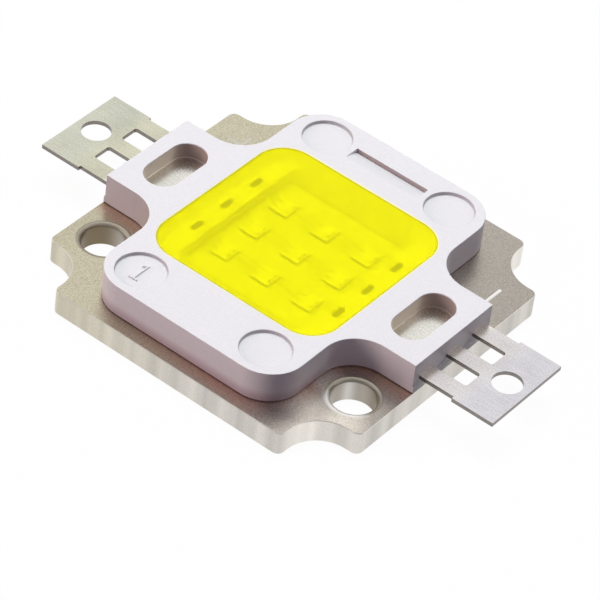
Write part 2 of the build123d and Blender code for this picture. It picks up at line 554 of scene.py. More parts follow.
def hole_sections(steps=5):
    """The outlines of a screw hole, from below the plate up through its rounded rim."""
    roll = (HOLE_RIM_WIDTH**2 + HOLE_RIM_DEPTH**2) / (2 * HOLE_RIM_DEPTH)
    lean = math.asin(HOLE_RIM_WIDTH / roll)
    rim_radius = HOLE_RADIUS + HOLE_RIM_WIDTH
    rings = [(HOLE_RADIUS, -1)]
    for angle in [lean * n / steps for n in range(steps, -1, -1)]:
        rings.append((rim_radius - roll * math.sin(angle), PLATE_TOP - roll * (1 - math.cos(angle))))
    rings.append((rim_radius, PLATE_TOP + 1))
    return [(2 * radius, 2 * radius, 0.9995 * radius, level) for radius, level in rings]


def struck_bar(middle, length_x, length_y):
    """The cutter of one stroke of a sign: a shallow groove with sloped sides."""
    wide_x = length_x + SIGN_SLOPE
    wide_y = length_y + SIGN_SLOPE
    low = (middle[0] - wide_x / 2, middle[1] - wide_y / 2, PLATE_TOP - SIGN_DEPTH)
    high = (middle[0] + wide_x / 2, middle[1] + wide_y / 2, PLATE_TOP + SIGN_DEPTH)
    bar = slab("stroke", low, high)
    with editing(bar):
        pick(bar, "FACE", is_bottom)
        narrow = [(length - SIGN_SLOPE) / (length + SIGN_SLOPE) for length in (length_x, length_y)]
        bpy.ops.transform.resize(value=(*narrow, 1))
    return bar


def make_base_plate():
    """The nickel-plated slug."""
    plate = slab("base_plate_nickel", plate_low, plate_high)
    for x in (-PLATE_HALF, PLATE_HALF):
        for y in (-PLATE_HALF, PLATE_HALF):
            notch = (2 * SCOOP_SIDE, 2 * SCOOP_SIDE, SCOOP_RADIUS, -1, PLATE_TOP + 1, (x, y))
            carve(plate, rounded_prism("notch", *notch))
    with editing(plate):
        tips = pick(plate, "EDGE", is_tip_edge)
        bpy.ops.mesh.bevel(offset=TIP_RADIUS, segments=6, affect="EDGES")
    for x in (-HOLE_X, HOLE_X):
        hole = bowl("screw_hole", hole_sections())
        hole.location = (x, HOLE_Y, 0)
        carve(plate, hole)
    print("tips rounded:", tips, "faces with the holes:", len(plate.data.polygons))
    soften(plate, PLATE_EDGE_BREAK, steps=3)
    for stroke in SIGN_STROKES:
        carve(plate, struck_bar(*stroke))
    smooth(plate)
    settle(plate, "nickel_plate", "base_plate")
    return plate


base_plate = make_base_plate()

# %% [markdown]
# ## Nickel over a blasted blank
# The plate is neither polished nor brushed. Its plating lies on a blasted blank, so the flat faces have a
# sandy grain of about a tenth of a millimetre, light and dark. The top is painted lighter and yellower to
# the left, as painted light. The sheared sides have faint upright drag marks and are yellower on the left.
# The holes' inner walls carry painted light and shade, and their rims have a tone of their own with a
# painted highlight on the front rim's near side and a painted dark line round the rest. The struck signs
# carry a painted glint. Painted highlights brighten the front corner, two notches and places by the front
# lobe, and a brown painted reflection of the moulding's walls lies on the metal at their foot. In the well
# under the gel it is bright, to throw the light upwards.

# %% Nickel
# The top's two tones are painted light: lighter and yellower on the left, darker on the right.
NICKEL_LIT_LEFT = (0.60, 0.555, 0.415)
NICKEL_SHADED_RIGHT = (0.445, 0.408, 0.362)
NICKEL_SIDE_LEFT = (0.64, 0.59, 0.47)
NICKEL_SIDE = (0.64, 0.605, 0.56)
RIM_NEAR_LIT = (0.92, 0.9, 0.86)
RIM_FAR_SHADED = (0.4, 0.36, 0.29)
HOLE_WALL_LIT = (0.72, 0.7, 0.65)
HOLE_WALL_HALF_LIT = (0.42, 0.385, 0.335)
HOLE_WALL_SHADED = (0.22, 0.175, 0.11)
EDGE_HIGHLIGHT = (0.92, 0.9, 0.85)
GROOVE_DIM_GLINT = (0.66, 0.64, 0.56)
GROOVE_GLINT = (0.95, 0.94, 0.9)
# Tints of a painted brown reflection of the moulding's walls in the plate.
WALL_REFLECTION_TINT = (1.38, 1.1, 0.97)
EAR_ROOT_REFLECTION_TINT = (1.12, 0.91, 0.92)
WELL_SILVER = (0.60, 0.595, 0.54)
WELL_X = 3.95
WELL_Y = 4.95


def sign_grooves(finish):
    """1 on the struck signs."""
    deep = finish.fall(finish.z, PLATE_TOP - 0.012, PLATE_TOP - 0.004)
    return deep * finish.inside(abs(finish.x) - SIGN_X, 1.1, 0.1) * finish.inside(finish.y - SIGN_Y, 1.0, 0.1)


def rimmed(finish, metal, reach, rim):
    """The metal with pressed rims round the screw holes, a painted highlight and a painted dark line on the
    rims, and painted light and shade on the holes' walls, darker outwards.
    """
    outer = HOLE_RADIUS + HOLE_RIM_WIDTH
    line = finish.inside(reach - outer, 0.015, 0.04)
    # Painted light and shade: each hole's inner wall goes from lit inwards to shaded outwards.
    side = abs(finish.x) - HOLE_X
    inner = finish.blend(finish.step(side, -1.0, -0.45), HOLE_WALL_LIT, HOLE_WALL_HALF_LIT)
    inner = finish.blend(finish.step(side, -1.15, -0.85), HOLE_WALL_HALF_LIT, inner)
    inner = finish.blend(finish.step(side, -0.3, 0.8), inner, HOLE_WALL_SHADED)
    # Painted highlight: the front hole's rim is painted light on its near side; elsewhere a painted dark line
    # of shade runs round the rims' outer edge.
    near_rim_highlight = finish.fall(finish.y - HOLE_Y, -1.2, -0.3) * finish.step(finish.x, -1.0, 1.0)
    metal = finish.blend(rim, metal, finish.blend(near_rim_highlight, RIM_FAR_SHADED, RIM_NEAR_LIT))
    metal = finish.blend(near_rim_highlight * finish.fall(reach, outer, outer + 0.22), metal, RIM_NEAR_LIT)
    metal = finish.times(metal, 1 - line * (1 - near_rim_highlight) * 0.3)
    return finish.blend(finish.fall(reach, HOLE_RADIUS, HOLE_RADIUS + 0.04), metal, inner)


def foot_mask(finish):
    """1 at the foot of the moulding's lobes and ears, 0 from about a millimetre away from it."""
    reaches = ((LOBE_HALF, FRAME_END), (PLATE_HALF, EAR_HALF))
    lobes, ears = ((abs(finish.x) - x).at_least(abs(finish.y) - y) for x, y in reaches)
    gap = finish.node("Math", {"operation": "SMOOTH_MIN"}, {0: lobes, 1: ears, 2: 1.5})
    return finish.fall(gap, 0.1, 1.1)


def spot(finish, middle, core, reach):
    """1 within a core round a place, 0 beyond a reach from it."""
    away = finish.length(finish.x - middle[0], finish.y - middle[1])
    return finish.fall(away, core, reach)


def plated_top(finish, shade, cloud):
    """The plating of the level faces, with painted light, painted highlights and a painted wall reflection.
    """
    x, y = finish.x, finish.y
    # Painted light: the top is painted lighter and yellower to the left and darker to the right.
    plating = finish.blend(finish.step(x + (cloud - 0.5) * 8, -6.0, 7.0), NICKEL_LIT_LEFT, NICKEL_SHADED_RIGHT)
    # Painted highlights: the front corner, the hollow by the front hole, a notch and the lobe's side are
    # painted brighter.
    corner = spot(finish, (6.7, -8.7), 0.8, 3.2)
    hollow = spot(finish, (6.4, -5.3), 0.4, 1.2)
    notch = spot(finish, (8.95, -7.05), 0.2, 1.5)
    lobe_side = spot(finish, (6.1, -7.4), 0.3, 1.5)
    painted_highlight = corner * 0.55 + notch * 0.75 + lobe_side * 0.6 + hollow * 0.9
    plating = finish.times(plating, shade * (1 + painted_highlight))
    # Painted reflection: the moulding's walls show as a brown reflection painted on the plate near their
    # foot, redder by the left ear's root.
    foot = foot_mask(finish)
    front_right = finish.step(x, -4.0, 4.0) * finish.fall(y, -3.0, -1.0)
    ear_root = finish.inside(y - EAR_ROOT_Y, 1.2, 0.5) * finish.fall(x, -6.2, -5.6)
    near_foot = foot * front_right * (1 - corner) * (1 - hollow)
    plating = finish.blend(near_foot, plating, WALL_REFLECTION_TINT, "MULTIPLY")
    return finish.blend(foot * ear_root, plating, EAR_ROOT_REFLECTION_TINT, "MULTIPLY")


def sheared_side(finish, sand):
    """The sides, with upright drag marks and painted highlights at two notches."""
    drag = finish.ramp(finish.noise(1.1, squeeze=(1, 1, 0.03)), 0.35, 0.65, 0.84, 1.1)
    drag = drag * finish.ramp(sand, 0.3, 0.7, 0.88, 1.1)
    side = finish.blend(finish.step(finish.x, -9.0, 4.0), NICKEL_SIDE_LEFT, NICKEL_SIDE)
    side_highlight = spot(finish, (7.5, -8.6), 0.4, 1.3) * 0.4 + spot(finish, (7.4, 9.2), 0.6, 1.6) * 0.35
    return finish.times(side, drag * (1 + side_highlight))


def nickel_finish():
    """Sandy nickel plating, with the bright well in its middle."""
    finish = Finish("nickel_plating", {})
    cloud = finish.noise(3.5)
    sand = finish.noise(0.085, detail=3.0, roughness=0.8) * 0.5 + finish.noise(0.06, detail=1.0) * 0.5
    shade = finish.ramp(sand + (cloud - 0.5) * 0.12, 0.32, 0.68, 0.7, 1.28)
    metal = finish.blend(finish.flatness(), sheared_side(finish, sand), plated_top(finish, shade, cloud))
    # Painted highlight: the narrow edge breaks are painted bright.
    metal = finish.blend(finish.edge_break() * 0.6, metal, EDGE_HIGHLIGHT)
    reach = finish.length(abs(finish.x) - HOLE_X, finish.y - HOLE_Y)
    rim = finish.inside(reach - HOLE_RADIUS - HOLE_RIM_WIDTH / 2, HOLE_RIM_WIDTH / 2 - 0.03, 0.05)
    metal = rimmed(finish, metal, reach, rim)
    # Painted glint: the struck signs are painted bright, dimmer in the plus on the left.
    groove = finish.blend(finish.step(finish.x, -1.0, 1.0), GROOVE_DIM_GLINT, GROOVE_GLINT)
    metal = finish.blend(sign_grooves(finish), metal, groove)
    well = finish.inside(finish.x, WELL_X, 0.1) * finish.inside(finish.y, WELL_Y, 0.1)
    finish.set({"Base Color": finish.blend(well, metal, WELL_SILVER)})
    finish.set({"Metallic": 1 - rim * 0.4, "Roughness": 0.32 + (sand - 0.5) * 0.3})
    finish.relief(sand, 0.005)
    return finish


nickel = nickel_finish()
nickel.coat(base_plate)

# %% [markdown]
# ## The moulded frame
# The white plastic is shot round the leads and onto the slug in one go. Two lobes carry the cavity and two
# ears carry the leads, with a wide inner radius between lobe and ear. A plane is the middle of its outline.
# Its four edges are extruded outwards, the faces dissolve into one, the corners are rounded, and the
# outline is raised. The hollows are carved in the order of the mould's steels: the bowl, the well below
# it, the windows over the leads, the round ejector recesses and the ramped gate recess.

# %% Moulded frame
LOBE_RADIUS = 2.05
EAR_ROOT_RADIUS = 2.0
EAR_FOOT_TOP = PLATE_TOP + 0.42
EAR_FOOT_STEP = 0.08
FRAME_EDGE_BREAK = 0.055
MOUTH_SIDE = 11.1
MOUTH_RADIUS = 1.8
SHELF_WIDTH = 10.2
SHELF_LENGTH = 9.846
SHELF_RADIUS = 1.2
WELL_WIDTH = 7.8
FLOOR_WIDTH = 7.6
FLOOR_LENGTH = 8.4
WELL_RADIUS = 0.6
SEAT = 0.02
EJECTOR_RADIUS = 1.325
EJECTOR_DEPTH = 0.2
EJECTOR_X = 3.97
EJECTOR_Y = 7.37
GATE_NEAR_Y = 6.8
GATE_FAR_Y = 7.77
GATE_HALF = 2.3
GATE_DEPTH = 0.28
BOND_WINDOW_X = 4.55
BOND_WINDOW = (0.36, 0.9, 0.1795)
LEAD_WINDOW_X = 8.0
LEAD_WINDOW = (2.0, 4.0, 0.9998)
WINDOW_FOOT = 0.06


def is_ear_root(vertex):
    """True for the four inner corners between a lobe and an ear."""
    return near(abs(vertex.co.x), LOBE_HALF) and near(abs(vertex.co.y), EAR_HALF)


def frame_outline():
    """The flat outline of lobes and ears, with all its corners rounded."""
    bpy.ops.object.select_all(action="DESELECT")
    bpy.ops.mesh.primitive_plane_add(size=1, location=(0, 0, PLATE_TOP))
    half = (LOBE_HALF, EAR_HALF)
    reach = (PLATE_HALF, FRAME_END)
    bpy.context.object.scale = (2 * half[0], 2 * half[1], 1)
    outline = named("moulded_frame_white")
    with editing(outline):
        for axis in (0, 1):
            for side in (-1, 1):
                pick(
                    outline,
                    "EDGE",
                    lambda edge: near(sum(v.co[1 - axis] for v in edge.verts), 0)
                    and all(near(side * v.co[axis], half[axis]) for v in edge.verts),
                )
                step = [0, 0, 0]
                step[axis] = side * (reach[axis] - half[axis])
                bpy.ops.mesh.extrude_edges_move(TRANSFORM_OT_translate={"value": step})
        pick(outline, "FACE", lambda face: True)
        bpy.ops.mesh.dissolve_faces()
        pick(outline, "VERT", lambda vertex: near(abs(vertex.co.y), FRAME_END))
        bpy.ops.mesh.bevel(offset=LOBE_RADIUS, segments=CORNER_STEPS, affect="VERTICES")
        pick(outline, "VERT", is_ear_root)
        bpy.ops.mesh.bevel(offset=EAR_ROOT_RADIUS, segments=CORNER_STEPS, affect="VERTICES")
    print("corners in the outline:", len(outline.data.vertices))
    return outline


def frame_blank():
    """Lobes and ears as one solid, with the ears' low step."""
    blank = frame_outline()
    with editing(blank):
        pull_up(FRAME_TOP - PLATE_TOP)
        face_outwards()
    step_x = PLATE_HALF - EAR_FOOT_STEP
    for low_x, high_x in ((step_x, step_x + 1), (-step_x - 1, -step_x)):
        carve(blank, slab("step", (low_x, -4, EAR_FOOT_TOP), (high_x, 4, FRAME_TOP + 1)))
    return blank


def cavity_parts(spare):
    """The bowl and the well, both made larger by some spare on every side."""
    slope = (MOUTH_SIDE - SHELF_LENGTH) / 2 / (FRAME_TOP - SHELF_TOP)
    over = 0.4
    bowl_rings = (
        (SHELF_WIDTH, SHELF_LENGTH, SHELF_RADIUS, SHELF_TOP - spare),
        (MOUTH_SIDE, MOUTH_SIDE, MOUTH_RADIUS, FRAME_TOP),
        (MOUTH_SIDE, MOUTH_SIDE + 2 * over * slope, MOUTH_RADIUS, FRAME_TOP + over),
    )
    well_rings = (
        (FLOOR_WIDTH, FLOOR_LENGTH, WELL_RADIUS, PLATE_TOP),
        (WELL_WIDTH, SHELF_LENGTH, WELL_RADIUS, SHELF_TOP),
        (WELL_WIDTH, SHELF_LENGTH, WELL_RADIUS, SHELF_TOP + over),
    )
    for name, rings in (("bowl", bowl_rings), ("well", well_rings)):
        yield bowl(name, [(x + 2 * spare, y + 2 * spare, radius + spare, z) for x, y, radius, z in rings])


def gate_wedge():
    """The gate recess's cutter: deep along its far side, running out towards the cavity."""
    low = (-GATE_HALF, GATE_NEAR_Y, FRAME_TOP - GATE_DEPTH)
    wedge = slab("gate", low, (GATE_HALF, GATE_FAR_Y, FRAME_TOP + 0.1))
    with editing(wedge):
        pick(wedge, "VERT", lambda vertex: vertex.co.z < FRAME_TOP and near(vertex.co.y, GATE_NEAR_Y))
        bpy.ops.transform.translate(value=(0, 0, GATE_DEPTH))
    return wedge


def lead_window(side):
    """The cutter of the obround window over a lead, narrower at its foot."""
    middle = (LEAD_WINDOW_X * side, 0)
    cutter = rounded_prism("lead_window", *LEAD_WINDOW, LEAD_TOP - SEAT, FRAME_TOP + 1, middle)
    with editing(cutter):
        pick(cutter, "EDGE", lambda edge: is_level_at(edge, LEAD_TOP - SEAT))
        bpy.ops.mesh.bevel(offset=WINDOW_FOOT + SEAT, segments=2, affect="EDGES")
    return cutter


def make_moulded_frame():
    """The white frame, with all its hollows."""
    white = frame_blank()
    upper, lower = cavity_parts(0)
    with editing(lower):
        pick(lower, "FACE", is_bottom)
        pull_up(-0.3)
    carve(white, upper)
    carve(white, lower)
    for side in (-1, 1):
        carve(white, lead_window(side))
        for end in (-1, 1):
            middle = (EJECTOR_X * side, EJECTOR_Y * end)
            carve(white, disc("ejector", EJECTOR_RADIUS, FRAME_TOP - EJECTOR_DEPTH, FRAME_TOP + 1, middle))
    soften(white, FRAME_EDGE_BREAK)
    carve(white, gate_wedge())
    for side in (-1, 1):
        for y in ROW_Y:
            window = (*BOND_WINDOW, LEAD_TOP - SEAT, SHELF_TOP + 1, (BOND_WINDOW_X * side, y))
            carve(white, rounded_prism("bond_window", *window))
    smooth(white)
    settle(white, "white_moulding", "moulded_frame")
    return white


moulded_frame = make_moulded_frame()

# %% [markdown]
# ## The mould's cavity number
# A mould has several cavities, and one ejector pin carries the number of the cavity, so a bad part can be
# traced. It leaves a raised numeral in the floor of the recess at the front left. A plain stroke numeral
# is enough: a stem, a foot and a short flag, each a low block that narrows upwards.

# %% Cavity number
NUMERAL_HEIGHT = 0.08
NUMERAL_STROKE = 0.13


def raised_stroke(start, end):
    """One raised stroke of the numeral between two places in the recess, narrower at its top."""
    bottom = FRAME_TOP - EJECTOR_DEPTH - SEAT
    length = math.dist(start, end)
    stroke = slab(
        "stroke",
        (-NUMERAL_STROKE / 2, 0, bottom),
        (NUMERAL_STROKE / 2, length, FRAME_TOP - EJECTOR_DEPTH + NUMERAL_HEIGHT),
    )
    with editing(stroke):
        pick(stroke, "FACE", is_top)
        bpy.ops.transform.resize(value=(0.6, 1 - 0.06 / length, 1))
    stroke.rotation_euler.z = math.atan2(start[0] - end[0], end[1] - start[1])
    stroke.location = (-EJECTOR_X + start[0], -EJECTOR_Y + start[1], 0)
    fix_place(stroke)
    return stroke


def make_cavity_number():
    """The numeral, as one piece."""
    stem = raised_stroke((0.0, -0.62), (0.0, 0.62))
    carve(stem, raised_stroke((-0.27, -0.6), (0.27, -0.6)), "UNION")
    carve(stem, raised_stroke((0.0, 0.58), (-0.24, 0.36)), "UNION")
    smooth(renamed(stem, "cavity_numeral"))
    settle(stem, "white_moulding", "moulded_frame")
    return stem


cavity_numeral = make_cavity_number()

# %% [markdown]
# ## White moulding plastic
# Reflector plastic is filled with white pigment until it hides everything behind it, and it comes off a
# fine spark-eroded mould face. So it is a cool white with a satin gloss and a very fine even texture. It
# yellows a little where gel has crept over the cavity's edge. Thin dark seams lie round the ejector pins
# and along the foot. Painted shade darkens the walls of the ejector recesses, the gate recess's far wall,
# and the front walls low down and at the left ear's root, redder there. The windows over the leads have
# walls painted lighter at their near end and a darker brown at their far end, as painted light and shade,
# and inside the cavity the white is painted lighter, as painted light.

# %% White plastic
PLASTIC_WHITE = (0.82, 0.805, 0.85)
PLASTIC_SHADE = (0.79, 0.775, 0.815)
GEL_FILM = (0.93, 0.88, 0.42)
JOINT_SHADE = (0.16, 0.1, 0.09)
GATE_SHADE = (0.42, 0.35, 0.35)
WINDOW_WALL_LIT = (0.98, 0.93, 0.8)
WINDOW_WALL_SHADED = (0.46, 0.385, 0.36)
EAR_ROOT_SHADE = (0.44, 0.39, 0.35)
LOW_WALL_SHADE = (0.56, 0.47, 0.52)
CAVITY_LIT_WHITE = (0.88, 0.88, 0.88)


def rim_distance(finish):
    """How far a place is outside the cavity's mouth, in millimetres."""
    flat_part = MOUTH_SIDE / 2 - MOUTH_RADIUS
    out_x, out_y = ((abs(value) - flat_part).at_least(0.0) for value in (finish.x, finish.y))
    return finish.length(out_x, out_y) - MOUTH_RADIUS


def gate_shade(finish):
    """1 on the far wall of the gate recess, where shade is painted, 0 elsewhere."""
    wall = finish.inside(finish.x, GATE_HALF + 0.02, 0.02) * finish.inside(finish.y - GATE_FAR_Y, 0.03, 0.02)
    return wall * finish.fall(finish.z, FRAME_TOP - 0.02, FRAME_TOP)


def window_wall(finish):
    """1 on the walls of the windows over the leads."""
    walls = finish.inside(abs(finish.x) - LEAD_WINDOW_X, 1.02, 0.02) * finish.inside(finish.y, 2.02, 0.02)
    return walls * finish.fall(finish.z, FRAME_TOP - 0.1, FRAME_TOP - 0.04)


def ear_root(finish):
    """1 at the left ear's root, less along the ear's near wall."""
    root = finish.inside(finish.y - EAR_ROOT_Y, 1.15, 0.3) * finish.fall(finish.x, -5.9, -5.6)
    return root * finish.ramp(finish.x, -8.2, -6.2, 0.38, 1.0)


def low_wall(finish):
    """1 low on the lobe with the two screw holes beside it."""
    low = finish.fall(finish.z, PLATE_TOP + 0.1, PLATE_TOP + 0.8)
    return low * finish.fall(finish.y, -5.8, -4.8)


def plastic_finish():
    """Satin white reflector plastic with a trace of gel at the cavity's edge."""
    finish = Finish("white_reflector_plastic", {"IOR": 1.45, "Specular IOR Level": 0.35})
    cloud = finish.noise(2.5, detail=3.0)
    pits = finish.noise(0.09)
    upright = 1 - finish.flatness()
    pin_reach = finish.length(abs(finish.x) - EJECTOR_X, abs(finish.y) - EJECTOR_Y)
    seam = finish.inside(pin_reach - EJECTOR_RADIUS + 0.01, 0.02, 0.05)
    # Painted shade: the walls of the ejector recesses are painted darker.
    pin_wall_shade = upright * finish.fall(pin_reach, EJECTOR_RADIUS - 0.02, EJECTOR_RADIUS + 0.06)
    # Painted light and shade: the windows' walls are painted lighter at their near end and a darker brown at
    # their far end.
    window_light_and_shade = finish.blend(finish.step(finish.y, 0.7, 1.8), WINDOW_WALL_LIT, WINDOW_WALL_SHADED)
    edge = rim_distance(finish)
    film = finish.step(edge, -0.1, -0.02) * finish.fall(edge, 0.03, 0.09)
    joint = finish.fall(finish.z, PLATE_TOP + 0.03, PLATE_TOP + 0.09)
    white = finish.blend(cloud, PLASTIC_SHADE, PLASTIC_WHITE)
    for share in (finish.ramp(pits, 0.3, 0.7, 0.965, 1.035), 1 - seam * 0.22, 1 - pin_wall_shade * 0.22):
        white = finish.times(white, share)
    coats = (
        # Painted shade on the gate recess's far wall, at the left ear's root and low on the front walls.
        (gate_shade(finish), GATE_SHADE),
        (ear_root(finish) * upright, EAR_ROOT_SHADE),
        (low_wall(finish) * upright, LOW_WALL_SHADE),
        (window_wall(finish), window_light_and_shade),
        # Painted light: the cavity's walls and shelf are painted a lighter white.
        (finish.fall(edge, -0.12, -0.03), CAVITY_LIT_WHITE),
        (film * 0.8, GEL_FILM),
        (joint * 0.85, JOINT_SHADE),
    )
    for share, colour in coats:
        white = finish.blend(share, white, colour)
    finish.set({"Base Color": white, "Roughness": 0.4 + (pits - 0.5) * 0.2})
    finish.relief(pits * 0.6 + cloud * 0.4, 0.004)
    return finish


plastic = plastic_finish()
plastic.coat(moulded_frame, cavity_numeral)

# %% [markdown]
# ## The leads
# Each lead is one stamping from thin strip: a tab with a wire hole, three legs with two windows between
# them, a plate that the ear holds, and a comb whose fingers end under the gel. Blocks of one thickness are
# joined into the comb, and the windows and the hole are punched out. The second lead is the first one
# turned half round, because the stamping is the same.

# %% Leads
TAB_INNER_X = 12.0
TAB_HALF = 2.84
LEGS_HALF = 2.68
LEG_ROOT_X = 9.5
LEG_WINDOW = (0.48, 1.65)
EAR_PLATE_HALF = 2.925
CROSS_BAR_INNER_X = 5.15
LEG_WINDOW_RADIUS = 0.15
LEAD_EDGE_BREAK = 0.025
FINGER_TIP_X = 4.2
FINGER_HALF = 0.575
WIRE_HOLE_X = 13.29
WIRE_HOLE_RADIUS = 0.8
OVERLAP = 0.1


def lead_strip(from_x, to_x, half, middle_y=0.0):
    """A flat stretch of the lead."""
    return slab("strip", (from_x, middle_y - half, LEAD_BOTTOM), (to_x, middle_y + half, LEAD_TOP))


def make_lead():
    """The lead on the right."""
    lead = lead_strip(TAB_INNER_X, LEAD_END, TAB_HALF)
    carve(lead, lead_strip(LEG_ROOT_X, TAB_INNER_X + OVERLAP, LEGS_HALF), "UNION")
    carve(lead, lead_strip(CROSS_BAR_INNER_X, LEG_ROOT_X + OVERLAP, EAR_PLATE_HALF), "UNION")
    for y in ROW_Y:
        carve(lead, lead_strip(FINGER_TIP_X, CROSS_BAR_INNER_X + OVERLAP, FINGER_HALF, y), "UNION")
    for side in (-1, 1):
        middle = ((LEG_ROOT_X + TAB_INNER_X) / 2, side * sum(LEG_WINDOW) / 2)
        size = (TAB_INNER_X - LEG_ROOT_X, LEG_WINDOW[1] - LEG_WINDOW[0], LEG_WINDOW_RADIUS)
        carve(lead, rounded_prism("punch", *size, LEAD_BOTTOM - 1, LEAD_TOP + 1, middle))
    carve(lead, disc("wire_hole", WIRE_HOLE_RADIUS, LEAD_BOTTOM - 1, LEAD_TOP + 1, (WIRE_HOLE_X, 0)))
    soften(lead, LEAD_EDGE_BREAK)
    smooth(lead)
    return lead


right_lead = make_lead()
right_lead.name = "lead_tab_right"
left_lead = copied(right_lead, "lead_tab_left")
left_lead.rotation_euler.z = math.pi
settle(right_lead, "tinned_lead", "lead_negative")
settle(left_lead, "tinned_lead", "lead_positive")

# %% [markdown]
# ## Plated strip
# The strip was rolled before it was stamped, so faint lines run along it under a thin silvery plating,
# made by noise that is stretched along X. The plating is warmer to the left. By the ears it carries a warm
# painted reflection of their walls and painted light, a little greyer in the windows over the leads. The
# sheared edges are darker, and the comb's fingers in the gel are painted nearly black, as painted shade.

# %% Plated leads
COVERED_X = 9.7
COMB_BARE_X = 5.3
TIN_WARM = (0.63, 0.635, 0.53)
TIN_COOL = (0.70, 0.685, 0.72)
TIN_LIT_IN_WINDOW = (0.8, 0.785, 0.72)
TIN_LIT_BY_EAR = (0.92, 0.87, 0.78)
EAR_REFLECTION_WARMTH = (1.05, 1.02, 0.96)
TIN_EDGE = (0.24, 0.215, 0.2)
TIN_SHADED_IN_GEL = (0.05, 0.045, 0.03)


def tin_finish():
    """Satin plated strip with rolling lines along it, and darker sheared edges."""
    finish = Finish("plated_strip", {"Metallic": 1.0})
    rolling = finish.noise(0.09, detail=3.0, squeeze=(0.05, 1, 1))
    cloud = finish.noise(2.0)
    grain = finish.noise(0.08)
    plating = finish.blend(finish.step(finish.x, -6.0, 6.0), TIN_WARM, TIN_COOL)
    # Painted reflection and light: by the ears the plating takes a warm painted reflection of their walls and
    # is painted lighter, and in the windows over the leads it is painted lighter.
    root = finish.inside(finish.x, TAB_INNER_X - 0.4, 1.4)
    plating = finish.blend(root, plating, EAR_REFLECTION_WARMTH, "MULTIPLY")
    plating = finish.blend(finish.inside(finish.x, PLATE_HALF + 0.25, 0.35), plating, TIN_LIT_BY_EAR)
    plating = finish.blend(finish.inside(finish.x, COVERED_X, 0.1), plating, TIN_LIT_IN_WINDOW)
    metal = finish.blend(finish.flatness(), TIN_EDGE, plating)
    # Painted shade: the comb's fingers in the gel are painted nearly black.
    metal = finish.blend(finish.inside(finish.x, COMB_BARE_X, 0.1), metal, TIN_SHADED_IN_GEL)
    tone = rolling * 0.2 + cloud * 0.3 + grain * 0.5
    finish.set({"Base Color": finish.times(metal, finish.ramp(tone, 0.35, 0.65, 0.8, 1.17))})
    finish.set({"Roughness": 0.25 + (grain - 0.5) * 0.15 + (cloud - 0.5) * 0.06})
    finish.relief(rolling * 0.3 + grain * 0.7, 0.002)
    return finish


tin = tin_finish()
tin.coat(right_lead, left_lead)

# %% [markdown]
# ## The dies
# Nine blue-emitting dies sit on the slug in three rows. A die is a square of sapphire with a thin grown
# layer on top, etched back along its edge, and four round electrodes joined by fine metal fingers. One is
# modelled at the origin: a block whose top is inset and raised, and thin discs and bars on it. The rest
# are copies moved to their places.

# %% Dies
SAPPHIRE_TOP = DIE_TOP - 0.02
MESA_MARGIN = 0.05
ELECTRODE_RADIUS = 0.065
ELECTRODE_X = 0.39
ELECTRODE_Y = 0.22
METAL_RISE = 0.006
FINGER_WIDTH = 0.022
FINGER_ENDS = (0.08, 0.36)


def make_die():
    """One die round the origin."""
    half = DIE_SIDE / 2
    die = slab("die", (-half, -half, PLATE_TOP), (half, half, SAPPHIRE_TOP))
    with editing(die):
        pick(die, "FACE", is_top)
        bpy.ops.mesh.inset(thickness=MESA_MARGIN)
        pull_up(DIE_TOP - SAPPHIRE_TOP)
    low, high = DIE_TOP - METAL_RISE, DIE_TOP + METAL_RISE
    for x in (-ELECTRODE_X, ELECTRODE_X):
        for y in (-ELECTRODE_Y, ELECTRODE_Y):
            carve(die, disc("electrode", ELECTRODE_RADIUS, low, high, (x, y), steps=16), "UNION")
    for y in (-ELECTRODE_Y, ELECTRODE_Y):
        for side in (-1, 1):
            start, end = sorted(side * reach for reach in FINGER_ENDS)
            bar = slab("finger", (start, y - FINGER_WIDTH / 2, low), (end, y + FINGER_WIDTH / 2, high))
            carve(die, bar, "UNION")
    return die


def place_dies(die):
    """Nine copies of the die, each with its own mesh, in their rows."""
    dies = []
    for row, y in enumerate(ROW_Y, start=1):
        for place, x in enumerate(DIE_X, start=1):
            copy = copied(die, f"die_{row}_{place}")
            copy.location = (x, y, 0)
            settle(copy, "die", f"led_die_{row}_{place}")
            dies.append(copy)
    bpy.data.objects.remove(die, do_unlink=True)
    return dies


dies = place_dies(make_die())

# %% [markdown]
# ## Sapphire and gold
# The die's grown layer lies over a mirror, so its face is a bright grey metal, and its sawn edges are
# dark. The electrodes and the bond wires are gold. All are seen through the gel, so the gold is written
# darker than it would be in air, and a little unevenness is enough.

# %% Die and gold finishes
DIE_FACE = (0.76, 0.75, 0.66)
DIE_FACE_DARK = (0.66, 0.65, 0.56)
DIE_EDGE = (0.04, 0.035, 0.025)
GOLD_LIGHT = (0.26, 0.18, 0.06)
GOLD_DARK = (0.14, 0.1, 0.03)


def die_finish():
    """The die's etched face, and its dark sawn edges."""
    finish = Finish("die_sapphire", {"Metallic": 1.0})
    etch = finish.noise(0.1)
    face = finish.blend(etch, DIE_FACE_DARK, DIE_FACE)
    finish.set({"Base Color": finish.blend(finish.flatness(), DIE_EDGE, face)})
    finish.set({"Roughness": 0.25 + etch * 0.2})
    finish.relief(etch, 0.002)
    return finish


def gold_finish():
    """Soft drawn gold."""
    finish = Finish("bond_gold", {"Metallic": 1.0})
    grain = finish.noise(0.03)
    finish.set({"Base Color": finish.blend(grain, GOLD_DARK, GOLD_LIGHT)})
    finish.set({"Roughness": 0.22 + grain * 0.15})
    finish.relief(grain, 0.001)
    return finish


die_face = die_finish()
gold = gold_finish()
metal_level = (DIE_TOP + METAL_RISE * 0.3) * MM
die_face.coat(*dies)
for die in dies:
    die.data.materials.append(gold.material)
    for polygon in die.data.polygons:
        polygon.material_index = int(polygon.center.z > metal_level)
print("gold faces on a die:", sum(polygon.material_index for polygon in dies[0].data.polygons))

